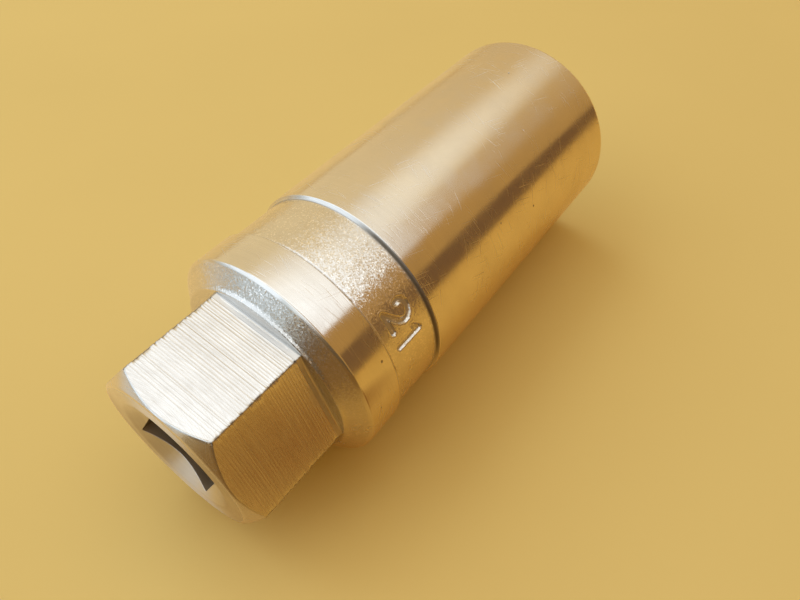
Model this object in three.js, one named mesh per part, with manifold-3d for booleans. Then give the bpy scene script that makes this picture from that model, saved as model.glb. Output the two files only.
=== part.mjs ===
// A spark plug socket: a forged chrome-vanadium body that a spanner or a square drive turns, with a
// moulded rubber insert inside that grips the plug. Millimetres, +Z up. The socket lies on its side
// along X, drive end at -X and plug mouth at +X, and its underside touches Z = 0.

import * as THREE from 'three';
import { mergeVertices } from 'three/addons/utils/BufferGeometryUtils.js';
import Module from 'manifold-3d';

const wasm = await Module();
wasm.setup();

// Lengths along the body, in order from the drive end to the mouth
const driveHexLength = 12.8;
const shoulderConeLength = 1.7;
const collarLength = 4.95;
const bandLength = 7.75;
const barrelLength = 42.8;

// Hexagon that fits the plug, and the cone that leads into it
const plugHexAcrossFlats = 21;
const mouthLeadInLength = 1.1;
const mouthLeadInMargin = 0.18;

// Outside of the body
const wallOverPlugFlats = 3.5;
const driveHexAcrossFlats = 19.8;
const driveHexTurnDegrees = 40;
const driveFaceInset = 0.25;
const driveChamferDegrees = 38;
const rootLedgeWidth = 0.15;
const bandDepth = 0.4;
const collarStepLength = 0.45;
const lipSlopeLength = 0.5;
const collarEdgeRadius = 0.25;
const lipEdgeRadius = 0.2;
const mouthEdgeRadius = 0.7;

// Square drive recess in the drive end, a 3/8 inch square
const squareAcrossFlats = 9.6;
const squareTurnDegrees = 30;
const squareDepth = 11.2;
const squareMouthMargin = 0.5;
const squareMouthSlopeDegrees = 29;
const detentBallRadius = 2.4;
const detentDepth = 0.9;
const detentStation = 5.6;

// Chamber between the square and the insert, for the plug's terminal
const chamberMargin = 0.1;

// Seat that the insert lies in
const seatSetback = 1;
const seatFrontRecess = 0.8;
const seatClearance = 0.3;
const seatEndClearance = 0.3;

// Rubber insert
const insertLength = 22;
const insertPassClearance = 0.4;
const insertBore = 10.6;
const insertLipHeight = 0.6;
const insertLipLength = 1.6;
const insertLipSlope = 0.6;
const insertFunnelWall = 2.1;
const insertFunnelLength = 4.2;
const insertRearWall = 3.6;
const insertRearLength = 3.4;
const insertEdgeRadius = 0.6;
const insertTravelPastMouth = 2;

// Every cut runs past the faces that it opens by this much
const overrun = 1;

// Facets round the outside, with a flat one underneath, and steps in an edge's quarter round
const facets = 32;
const edgeSteps = 3;
const ballFacets = 16;
const hexSides = 6;
const squareSides = 4;

// Stations: distances from the drive end face
const hexRoot = driveHexLength;
const collarFront = hexRoot + shoulderConeLength;
const collarRear = collarFront + collarLength;
const lipStation = collarRear + bandLength;
const mouthStation = lipStation + barrelLength;
const seatRear = collarRear + seatSetback;
const insertRear = seatRear + seatEndClearance;
const insertFront = insertRear + insertLength;
const seatFront = insertFront + seatFrontRecess;
const overallLength = mouthStation;

// The radius of the corners of a polygon, from the distance between opposite flats
function cornerRadius(acrossFlats, sides) {
  return acrossFlats / 2 / Math.cos(Math.PI / sides);
}

// Radii
const plugHexRadius = plugHexAcrossFlats / 2;
const plugCornerRadius = cornerRadius(plugHexAcrossFlats, hexSides);
const turnedRadius = plugHexRadius + wallOverPlugFlats;
const bandRadius = turnedRadius - bandDepth;
const driveFaceRadius = driveHexAcrossFlats / 2 - driveFaceInset;
const driveCornerRadius = cornerRadius(driveHexAcrossFlats, hexSides);
const squareWall = squareAcrossFlats / 2;
const squareCornerRadius = cornerRadius(squareAcrossFlats, squareSides);
const squareMouthRadius = squareCornerRadius + squareMouthMargin;
const chamberRadius = squareCornerRadius + chamberMargin;
const insertRadius = plugHexRadius - insertPassClearance;
const seatRadius = insertRadius + seatClearance;

// Points of a quarter round, from angle `from` to angle `to` in radians, about a centre
function arcPoints(station, radius, arcRadius, from, to) {
  const points = [];
  for (let step = 0; step <= edgeSteps; step += 1) {
    const angle = THREE.MathUtils.lerp(from, to, step / edgeSteps);
    points.push([station + arcRadius * Math.cos(angle), radius + arcRadius * Math.sin(angle)]);
  }
  return points;
}

// A geometry as a manifold solid: only positions are kept, and shared vertices are merged
function toSolid(geometry) {
  geometry.deleteAttribute('normal');
  geometry.deleteAttribute('uv');
  const merged = mergeVertices(geometry);
  const mesh = new wasm.Mesh({
    numProp: 3,
    vertProperties: new Float32Array(merged.attributes.position.array),
    triVerts: new Uint32Array(merged.index.array),
  });
  return new wasm.Manifold(mesh);
}

// A solid back to a geometry
function toGeometry(solid) {
  const mesh = solid.getMesh();
  const geometry = new THREE.BufferGeometry();
  geometry.setAttribute('position', new THREE.BufferAttribute(mesh.vertProperties, mesh.numProp));
  geometry.setIndex(new THREE.BufferAttribute(mesh.triVerts, 1));
  geometry.computeVertexNormals();
  return geometry;
}

// A round solid about the X axis from [station, radius] points. Its flats, not its corners, lie at
// the stated radius, and one flat faces straight down.
function roundSolid(profile) {
  const cornerScale = 1 / Math.cos(Math.PI / facets);
  const first = profile[0];
  const last = profile[profile.length - 1];
  const outline = [[first[0], 0], ...profile, [last[0], 0]];
  const points = outline.map(([station, radius]) => new THREE.Vector2(radius * cornerScale, station));
  const geometry = new THREE.LatheGeometry(points, facets);
  geometry.rotateY(Math.PI / facets);
  geometry.rotateZ(-Math.PI / 2);
  return toSolid(geometry);
}

// A prism along X between two stations, whose first corner is turned about +X from straight up
function prismSolid(acrossFlats, sides, turnDegrees, start, end) {
  const radius = cornerRadius(acrossFlats, sides);
  const shape = new THREE.Shape();
  for (let corner = 0; corner < sides; corner += 1) {
    const angle = THREE.MathUtils.degToRad(turnDegrees) + (corner * 2 * Math.PI) / sides;
    const y = -radius * Math.sin(angle);
    const z = radius * Math.cos(angle);
    if (corner === 0) shape.moveTo(y, z);
    else shape.lineTo(y, z);
  }
  shape.closePath();
  const geometry = new THREE.ExtrudeGeometry(shape, { depth: end - start, bevelEnabled: false });
  const alongX = new THREE.Matrix4().makeBasis(
    new THREE.Vector3(0, 1, 0),
    new THREE.Vector3(0, 0, 1),
    new THREE.Vector3(1, 0, 0),
  );
  geometry.applyMatrix4(alongX);
  geometry.translate(start, 0, 0);
  return toSolid(geometry);
}

// The hexagon for a spanner, with its front corners turned off to a cone
function driveHex() {
  const slope = Math.tan(THREE.MathUtils.degToRad(driveChamferDegrees));
  const coneRadius = driveCornerRadius + overrun;
  const blank = roundSolid([
    [0, driveFaceRadius],
    [(coneRadius - driveFaceRadius) * slope, coneRadius],
    [collarFront, coneRadius],
  ]);
  const prism = prismSolid(driveHexAcrossFlats, hexSides, driveHexTurnDegrees, 0, collarFront);
  return prism.intersect(blank);
}

// The turned part: shoulder cone, polished collar, forged band, lip and barrel
function turnedBody() {
  const quarter = Math.PI / 2;
  return roundSolid([
    [hexRoot, driveCornerRadius + rootLedgeWidth],
    [collarFront, turnedRadius - collarEdgeRadius],
    [collarFront + collarEdgeRadius, turnedRadius],
    [collarRear, turnedRadius],
    [collarRear + collarStepLength, bandRadius],
    [lipStation - lipSlopeLength, bandRadius],
    [lipStation, turnedRadius - lipEdgeRadius],
    [lipStation + lipEdgeRadius, turnedRadius],
    ...arcPoints(
      mouthStation - mouthEdgeRadius,
      turnedRadius - mouthEdgeRadius,
      mouthEdgeRadius,
      quarter,
      0,
    ),
  ]);
}

// The square recess, the sloping round mouth that leads into it, and a hollow in the middle of each
// of its four walls for the ball of the drive
function squareRecess() {
  const slope = Math.tan(THREE.MathUtils.degToRad(squareMouthSlopeDegrees));
  const tipRadius = squareWall / 2;
  const cornerTurn = squareTurnDegrees + 180 / squareSides;
  const square = prismSolid(squareAcrossFlats, squareSides, cornerTurn, -overrun, squareDepth);
  const mouth = roundSolid([
    [-overrun, squareMouthRadius],
    [0, squareMouthRadius],
    [(squareMouthRadius - tipRadius) * slope, tipRadius],
  ]);
  const reach = squareWall + detentDepth - detentBallRadius;
  let recess = square.add(mouth);
  for (let side = 0; side < squareSides; side += 1) {
    const turn = THREE.MathUtils.degToRad(squareTurnDegrees);
    const angle = turn + (side * 2 * Math.PI) / squareSides;
    const ball = new THREE.SphereGeometry(detentBallRadius, ballFacets, ballFacets);
    ball.translate(detentStation, -reach * Math.sin(angle), reach * Math.cos(angle));
    recess = recess.add(toSolid(ball));
  }
  return recess;
}

// The round chamber and the insert's seat, which run into each other
function chamberAndSeat() {
  return roundSolid([
    [squareDepth, chamberRadius],
    [seatRear, chamberRadius],
    [seatRear, seatRadius],
    [seatFront, seatRadius],
  ]);
}

// The hexagon for the plug and the cone that leads into it
function plugMouth() {
  const leadInRadius = plugCornerRadius + mouthLeadInMargin;
  const past = mouthStation + overrun;
  const hex = prismSolid(plugHexAcrossFlats, hexSides, driveHexTurnDegrees, seatFront, past);
  const leadIn = roundSolid([
    [mouthStation - mouthLeadInLength, plugHexRadius],
    [mouthStation, leadInRadius],
    [past, leadInRadius],
  ]);
  return hex.add(leadIn);
}

// The whole body: one forging, hollow from end to end
function socketBody() {
  const outside = driveHex().add(turnedBody());
  return outside.subtract(squareRecess()).subtract(chamberAndSeat()).subtract(plugMouth());
}

// The rubber sleeve: a funnel for the plug's insulator, a bore with a gripping lip at each end, and
// a wider pocket behind
function rubberInsert() {
  const quarter = Math.PI / 2;
  const outside = roundSolid([
    ...arcPoints(
      insertRear + insertEdgeRadius,
      insertRadius - insertEdgeRadius,
      insertEdgeRadius,
      Math.PI,
      quarter,
    ),
    ...arcPoints(
      insertFront - insertEdgeRadius,
      insertRadius - insertEdgeRadius,
      insertEdgeRadius,
      quarter,
      0,
    ),
  ]);
  const boreRadius = insertBore / 2;
  const lipRadius = boreRadius - insertLipHeight;
  const rearRadius = insertRadius - insertRearWall;
  const funnelRadius = insertRadius - insertFunnelWall;
  const rearLip = insertRear + insertRearLength;
  const frontLip = insertFront - insertFunnelLength;
  const bore = roundSolid([
    [insertRear - overrun, rearRadius],
    [rearLip, rearRadius],
    [rearLip, lipRadius],
    [rearLip + insertLipLength, lipRadius],
    [rearLip + insertLipLength + insertLipSlope, boreRadius],
    [frontLip - insertLipLength - insertLipSlope, boreRadius],
    [frontLip - insertLipLength, lipRadius],
    [frontLip, lipRadius],
    [insertFront, funnelRadius],
    [insertFront + overrun, funnelRadius],
  ]);
  return outside.subtract(bore);
}

const chrome = new THREE.MeshStandardMaterial({ color: 0xc9cbcc, roughness: 0.22, metalness: 1 });
const rubber = new THREE.MeshStandardMaterial({ color: 0x191919, roughness: 0.85, metalness: 0 });

function namedMesh(name, solid, material) {
  const mesh = new THREE.Mesh(toGeometry(solid), material);
  mesh.name = name;
  return mesh;
}

// The insert leaves through the mouth, so this is how far it slides
const insertTravel = mouthStation - insertRear + insertTravelPastMouth;
console.log(`overall length ${overallLength} mm, insert travel ${insertTravel} mm`);

const socket = new THREE.Group();
socket.position.set(-overallLength / 2, 0, turnedRadius);
socket.add(namedMesh('socket_body', socketBody(), chrome));
socket.add(namedMesh('rubber_insert', rubberInsert(), rubber));

const part = new THREE.Group();
part.add(socket);

export default part;
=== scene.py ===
"""Looks of a deep spark plug socket: a forged, turned and chrome-plated body and its rubber insert.

The socket's sizes are millimetres until a mesh is written, when they become metres. The studio and the
camera are given in metres. Two coordinates place every point of a turned piece: the station, which is
the distance from the drive end face along the axis, and the turn, which is the angle about the axis
from straight up towards -Y.
"""

import logging
import math
from dataclasses import dataclass, field
from enum import Enum
from typing import ClassVar

import bpy
import numpy as np
from mathutils import Matrix, Vector


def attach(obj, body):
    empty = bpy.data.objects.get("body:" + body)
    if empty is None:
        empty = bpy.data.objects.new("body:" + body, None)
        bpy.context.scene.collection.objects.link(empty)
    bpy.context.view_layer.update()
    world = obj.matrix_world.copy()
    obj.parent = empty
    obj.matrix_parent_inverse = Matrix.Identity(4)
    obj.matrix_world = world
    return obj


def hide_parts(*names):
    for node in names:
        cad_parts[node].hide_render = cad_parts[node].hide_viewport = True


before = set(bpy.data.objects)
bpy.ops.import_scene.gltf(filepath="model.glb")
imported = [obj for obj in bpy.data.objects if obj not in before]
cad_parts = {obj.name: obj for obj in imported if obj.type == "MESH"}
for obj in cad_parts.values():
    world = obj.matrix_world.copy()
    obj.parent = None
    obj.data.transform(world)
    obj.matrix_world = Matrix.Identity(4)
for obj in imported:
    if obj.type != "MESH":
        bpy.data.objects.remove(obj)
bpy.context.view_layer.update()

LOG = logging.getLogger("plug_socket")
METRES = 0.001
MICROMETRE = 1e-6
SHARP_ANGLE = math.radians(38)
SIXTH_TURN = math.radians(60)
QUARTER_TURN = 0.25
BEVEL_SHARE = 0.293
BLACK = (0.0, 0.0, 0.0)
ROUNDING_STEPS = 4
LATTICE_ROWS = 256
LEAST_LENGTH = 1e-9
FAR = 1e9

# The most of a stretch that a rounding may take, and that a guard row may be away from its end.
MOST_ROUNDING = 0.42
MOST_GUARD = 0.3

# Sums of vectors that give a number.
NUMBER_RESULTS = ("DISTANCE", "DOT_PRODUCT", "LENGTH")

# Places of the two colours and of the mixed colour among the mix node's sockets.
MIX_COLOURS = (6, 7)
MIX_RESULT = 2

Socket = bpy.types.NodeSocket
Colour = tuple[float, float, float]
Point = tuple[float, float, float]
Span = tuple[float, float]
Column = np.ndarray | float
Socketable = Socket | float | tuple[float, ...]
Inputs = dict[str | int, Socketable]


class Finish(Enum):
    """Finishes of the body's faces, in the order of its material slots."""

    TURNED = 0
    MILLED = 1
    FORGED = 2
    BORE = 3
    FACED = 4
    SQUARE = 5


@dataclass(frozen=True)
class Axis:
    """Where the socket's axis lies in the part's frame, in mm."""

    half_length: float = 35.0
    height: float = 14.0

    def points(self, station: np.ndarray, radius: np.ndarray, turn: np.ndarray) -> np.ndarray:
        """Places points of a turned surface.

        x is the station less half the length; y and z are the radius times minus the sine and
        the cosine of the turn, from the axis.

        Args:
            station: Stations, mm.
            radius: Radii, mm.
            turn: Turns, radians.

        Returns:
            The points, metres, with a last axis of 3.
        """
        x = station - self.half_length
        y = -radius * np.sin(turn)
        z = self.height + radius * np.cos(turn)
        return np.stack([x, y, z], axis=-1) * METRES


AXIS = Axis()


@dataclass(frozen=True)
class Corner:
    """A corner of a closed profile that is carried round the axis.

    Station and radius are mm, one number or one per column. The finish, and the rows, belong to the
    stretch from this corner to the next. Shares, where given, place those rows instead.
    """

    station: Column
    radius: Column
    finish: Finish
    rounding: float = 0.1
    rows: int = 0
    shares: np.ndarray | None = None


@dataclass
class Surface:
    """A carried profile: arrays of rows by columns, and each row's corner."""

    station: np.ndarray
    radius: np.ndarray
    turn: np.ndarray
    corner: np.ndarray
    finish: np.ndarray

    def rows_of(self, *corners: int) -> np.ndarray:
        """A mask of the rows that belong to these corners."""
        return np.isin(self.corner, corners)


def carry_profile(corners: list[Corner], turn: np.ndarray, guard: float = 0.05) -> Surface:
    """Carries a closed profile round the axis.

    Each corner is replaced by the parabola that touches both of its sides at the rounding's
    distance, in a few steps. A row close to each end keeps a long stretch flat.

    Args:
        corners: The profile's corners in order; the last joins the first.
        turn: The columns' turns, radians.
        guard: Distance of the row that guards a stretch's end, mm.

    Returns:
        The surface, with one row for each point of the rounded profile.
    """
    points = np.array([[c.station + 0 * turn, c.radius + 0 * turn] for c in corners])
    ahead = np.roll(points, -1, axis=0) - points
    length = np.maximum(np.linalg.norm(ahead, axis=1), LEAST_LENGTH)
    direction = ahead / length[:, None]
    reach = np.array([c.rounding + 0 * turn for c in corners])
    reach = np.minimum(reach, MOST_ROUNDING * np.minimum(length, np.roll(length, 1, axis=0)))
    rows: list[np.ndarray] = []
    owners: list[int] = []
    for index, corner in enumerate(corners):
        start = points[index] - direction[index - 1] * reach[index]
        end = points[index] + direction[index] * reach[index]
        steps = np.linspace(0, 1, ROUNDING_STEPS + 1) if corner.rounding > 0 else np.array([0.0])
        for share in steps:
            near = start * (1 - share) ** 2 + points[index] * 2 * share * (1 - share)
            rows.append(near + end * share**2)
            owners.append(index)
        following = (index + 1) % len(corners)
        stop = points[following] - direction[index] * reach[following]
        straight = np.maximum(np.linalg.norm(stop - end, axis=0), LEAST_LENGTH)
        near_end = np.minimum(guard / straight, MOST_GUARD)
        if corner.shares is not None:
            between = [share + 0 * turn for share in corner.shares]
        else:
            spread = np.linspace(0, 1, corner.rows + 2)
            between = [near_end + (1 - 2 * near_end) * share for share in spread]
        for share in between:
            rows.append(end + (stop - end) * share)
            owners.append(index)
    carried = np.array(rows)
    around = turn[None, :] + 0 * carried[:, 0]
    finish = np.array([corners[index].finish.value for index in owners])
    return Surface(carried[:, 0], carried[:, 1], around, np.array(owners), finish)


def polygon_radius(
    turn: np.ndarray,
    across: float,
    sides: int,
    first: float,
    rounding: float,
) -> np.ndarray:
    """The distance from the axis to a regular polygon with rounded corners.

    Along a side it is half the distance across flats over the cosine of the angle from the side's
    middle. Near a corner it is the far crossing with the circle that touches both sides.

    Args:
        turn: Turns, radians.
        across: Distance between opposite flats, mm.
        sides: Number of sides.
        first: Turn of one corner, radians.
        rounding: Radius of the corner's circle, mm.

    Returns:
        The radius at each turn, mm.
    """
    half = across / 2
    wedge = math.pi / sides
    from_corner = (turn - first + wedge) % (2 * wedge) - wedge
    off = np.abs(from_corner)
    centre = (half - rounding) / math.cos(wedge)
    touch = wedge - math.atan(centre * math.sin(wedge) / half)
    under = np.maximum(rounding**2 - (centre * np.sin(off)) ** 2, 0)
    arc = centre * np.cos(off) + np.sqrt(under)
    return np.where(off < touch, arc, half / np.cos(wedge - off))


def lattice_noise(
    station: np.ndarray,
    turn: np.ndarray,
    cell: float,
    round_cells: int,
    seed: int,
) -> np.ndarray:
    """Smooth noise from -1 to 1 that closes round the axis.

    Random values on a lattice of stations and turns are blended with the weight 3t^2 - 2t^3.

    Args:
        station: Stations, mm.
        turn: Turns, radians.
        cell: Lattice spacing along the axis, mm.
        round_cells: Lattice cells in one turn.
        seed: Seed of the random values.

    Returns:
        The noise, in the shape of station.
    """
    values = np.random.default_rng(seed).uniform(-1, 1, (LATTICE_ROWS, round_cells))
    along = station / cell
    around = (turn / (2 * math.pi)) % 1 * round_cells
    row = np.floor(along).astype(int)
    column = np.floor(around).astype(int)
    share_row = along - row
    share_column = around - column
    share_row = share_row**2 * (3 - 2 * share_row)
    share_column = share_column**2 * (3 - 2 * share_column)
    near = values[row % LATTICE_ROWS, column % round_cells]
    right = values[row % LATTICE_ROWS, (column + 1) % round_cells]
    above = values[(row + 1) % LATTICE_ROWS, column % round_cells]
    across = values[(row + 1) % LATTICE_ROWS, (column + 1) % round_cells]
    low = near + (right - near) * share_column
    high = above + (across - above) * share_column
    return low + (high - low) * share_row


def stroke_distance(u: np.ndarray, v: np.ndarray, path: np.ndarray) -> np.ndarray:
    """The distance from points to a stroke of straight pieces.

    Each piece's nearest point is its start plus the clamped share of its length; the smallest
    distance counts.

    Args:
        u: First coordinates.
        v: Second coordinates.
        path: The stroke's points, one row each.

    Returns:
        The distance, in the shape of u.
    """
    best = np.full(u.shape, FAR)
    for start, end in zip(path[:-1], path[1:], strict=True):
        piece = end - start
        share = ((u - start[0]) * piece[0] + (v - start[1]) * piece[1]) / (piece @ piece)
        share = np.clip(share, 0, 1)
        apart = np.hypot(u - start[0] - share * piece[0], v - start[1] - share * piece[1])
        best = np.minimum(best, apart)
    return best


def add_dirt_and_shade(grime_and_shade: np.ndarray, rows: np.ndarray, dirt_and_shade: np.ndarray) -> np.ndarray:
    """Adds soiling and painted shade to some rows of a surface; the greater share counts."""
    return np.maximum(grime_and_shade, np.where(rows[:, None], dirt_and_shade, 0))


def write_mesh(
    name: str,
    surface: Surface,
    grime_and_shade: np.ndarray,
    materials: list[bpy.types.Material],
) -> bpy.types.Object:
    """Makes a piece from a surface that closes on itself both ways.

    Args:
        name: The piece's name.
        surface: The carried profile.
        grime_and_shade: Share of soiling and of painted shade at each point, 0 to 1.
        materials: The materials that the finishes point to.

    Returns:
        The piece, in the scene.
    """
    rows, columns = surface.station.shape
    points = AXIS.points(surface.station, surface.radius, surface.turn).reshape(-1, 3)
    row = np.arange(rows)[:, None]
    column = np.arange(columns)[None, :]
    next_row = (row + 1) % rows
    next_column = (column + 1) % columns
    corners = (
        row * columns + column,
        row * columns + next_column,
        next_row * columns + next_column,
        next_row * columns + column,
    )
    faces = np.stack(corners, axis=-1).reshape(-1, 4)
    mesh = bpy.data.meshes.new(name)
    mesh.vertices.add(len(points))
    mesh.vertices.foreach_set("co", points.astype(np.float32).ravel())
    mesh.loops.add(faces.size)
    mesh.loops.foreach_set("vertex_index", faces.astype(np.int32).ravel())
    mesh.polygons.add(len(faces))
    mesh.polygons.foreach_set("loop_start", np.arange(0, faces.size, 4, dtype=np.int32))
    mesh.polygons.foreach_set("material_index", np.repeat(surface.finish, columns).astype(np.int32))
    mesh.update(calc_edges=True)
    mesh.validate()
    # The mesh carries the share of soiling and of painted shade that its materials read.
    dirt_and_shade = mesh.attributes.new("grime_and_shade", "FLOAT", "POINT")
    dirt_and_shade.data.foreach_set("value", grime_and_shade.astype(np.float32).ravel())
    mesh.shade_smooth()
    mesh.set_sharp_from_angle(angle=SHARP_ANGLE)
    for material in materials:
        mesh.materials.append(material)
    piece = bpy.data.objects.new(name, mesh)
    bpy.context.scene.collection.objects.link(piece)
    return piece


class Recipe:
    """Adds nodes to one node tree and joins them."""

    def __init__(self, tree: bpy.types.NodeTree) -> None:
        """Keeps the tree that the nodes go in."""
        self.tree = tree

    def feed(self, node: bpy.types.Node, inputs: Inputs) -> None:
        """Gives a node's inputs their values, or joins sockets to them.

        Args:
            node: The node.
            inputs: Values or sockets, by the input's name or number.
        """
        for key, value in inputs.items():
            if isinstance(value, Socket):
                self.tree.links.new(value, node.inputs[key])
            else:
                node.inputs[key].default_value = value

    def node(self, kind: str, inputs: Inputs | None = None, **settings: object) -> bpy.types.Node:
        """Adds one node.

        Args:
            kind: The node's type name.
            inputs: Values or sockets for its inputs, by name or number.
            settings: The node's own settings.

        Returns:
            The node.
        """
        made = self.tree.nodes.new(kind)
        for key, value in settings.items():
            setattr(made, key, value)
        self.feed(made, inputs or {})
        return made

    def group(self, tree: bpy.types.NodeTree, inputs: Inputs) -> bpy.types.NodeOutputs:
        """Adds a node group with its values, and gives its outputs."""
        return self.node("ShaderNodeGroup", inputs, node_tree=tree).outputs

    def maths(self, operation: str, first: Socketable, second: Socketable = 0.0) -> Socket:
        """One sum of two numbers."""
        return self.node("ShaderNodeMath", {0: first, 1: second}, operation=operation).outputs[0]

    def vector(
        self,
        operation: str,
        *values: Socketable,
        scale: Socketable | None = None,
    ) -> Socket:
        """One sum of vectors.

        Args:
            operation: The sum's name.
            values: Its vectors.
            scale: What a vector is multiplied by, where the sum is SCALE.

        Returns:
            A number where the sum gives one, and a vector otherwise.
        """
        inputs: Inputs = dict(enumerate(values))
        if scale is not None:
            inputs["Scale"] = scale
        made = self.node("ShaderNodeVectorMath", inputs, operation=operation)
        return made.outputs["Value" if operation in NUMBER_RESULTS else "Vector"]

    def split(self, vector: Socketable) -> tuple[Socket, ...]:
        """The x, y and z of a vector."""
        return tuple(self.node("ShaderNodeSeparateXYZ", {0: vector}).outputs)

    def join(self, x: Socketable, y: Socketable, z: Socketable = 0.0) -> Socket:
        """A vector of x, y and z."""
        return self.node("ShaderNodeCombineXYZ", {0: x, 1: y, 2: z}).outputs[0]

    def remap(
        self,
        value: Socketable,
        low: Socketable,
        high: Socketable,
        to_low: float = 0.0,
        to_high: float = 1.0,
    ) -> Socket:
        """A value moved from one range to another and held inside it."""
        span = {"Value": value, "From Min": low, "From Max": high, "To Min": to_low, "To Max": to_high}
        return self.node("ShaderNodeMapRange", span, clamp=True).outputs["Result"]

    def noise(
        self,
        vector: Socketable,
        scale: float,
        detail: float,
        roughness: float = 0.5,
    ) -> Socket:
        """Noise from 0 to 1 over a vector."""
        values = {"Vector": vector, "Scale": scale, "Detail": detail, "Roughness": roughness}
        return self.node("ShaderNodeTexNoise", values, noise_dimensions="3D").outputs["Fac"]

    def tint(self, share: Socketable, plain: Socketable, tinted: Socketable) -> Socket:
        """A colour between two colours."""
        inputs: Inputs = {"Factor": share}
        for key, value in zip(MIX_COLOURS, (plain, tinted), strict=True):
            inputs[key] = value if isinstance(value, Socket) else (*value, 1.0)
        return self.node("ShaderNodeMix", inputs, data_type="RGBA").outputs[MIX_RESULT]


def new_group(
    name: str,
    inputs: dict[str, float],
    outputs: list[str],
    vectors: list[str] | None = None,
) -> tuple[bpy.types.NodeTree, Recipe, bpy.types.NodeOutputs, bpy.types.Node]:
    """Starts a shader node group.

    Args:
        name: The group's name.
        inputs: Its number inputs and their usual values.
        outputs: Its number outputs.
        vectors: Its vector outputs.

    Returns:
        The group, a recipe for it, the sockets of what it is given, and its output node.
    """
    group = bpy.data.node_groups.new(name, "ShaderNodeTree")
    for label, usual in inputs.items():
        socket = group.interface.new_socket(name=label, in_out="INPUT", socket_type="NodeSocketFloat")
        socket.default_value = usual
    for label in outputs:
        group.interface.new_socket(name=label, in_out="OUTPUT", socket_type="NodeSocketFloat")
    for label in vectors or []:
        group.interface.new_socket(name=label, in_out="OUTPUT", socket_type="NodeSocketVector")
    recipe = Recipe(group)
    return group, recipe, recipe.node("NodeGroupInput").outputs, recipe.node("NodeGroupOutput")


def axis_vector(recipe: Recipe) -> Socket:
    """Object coordinates in mm, measured from the socket's axis."""
    place = recipe.node("ShaderNodeTexCoord").outputs["Object"]
    from_axis = recipe.vector("ADD", place, (0.0, 0.0, -AXIS.height * METRES))
    return recipe.vector("SCALE", from_axis, scale=1 / METRES)


def groove_direction(recipe: Recipe) -> Socket:
    """The direction of a groove round the axis: the axis crossed with the place."""
    return recipe.vector("CROSS_PRODUCT", (1.0, 0.0, 0.0), axis_vector(recipe))


def dirt_and_shade_mask(recipe: Recipe) -> Socket:
    """The share of soiling and of painted shade that a piece's mesh carries."""
    return recipe.node("ShaderNodeAttribute", attribute_name="grime_and_shade").outputs["Fac"]


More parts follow.
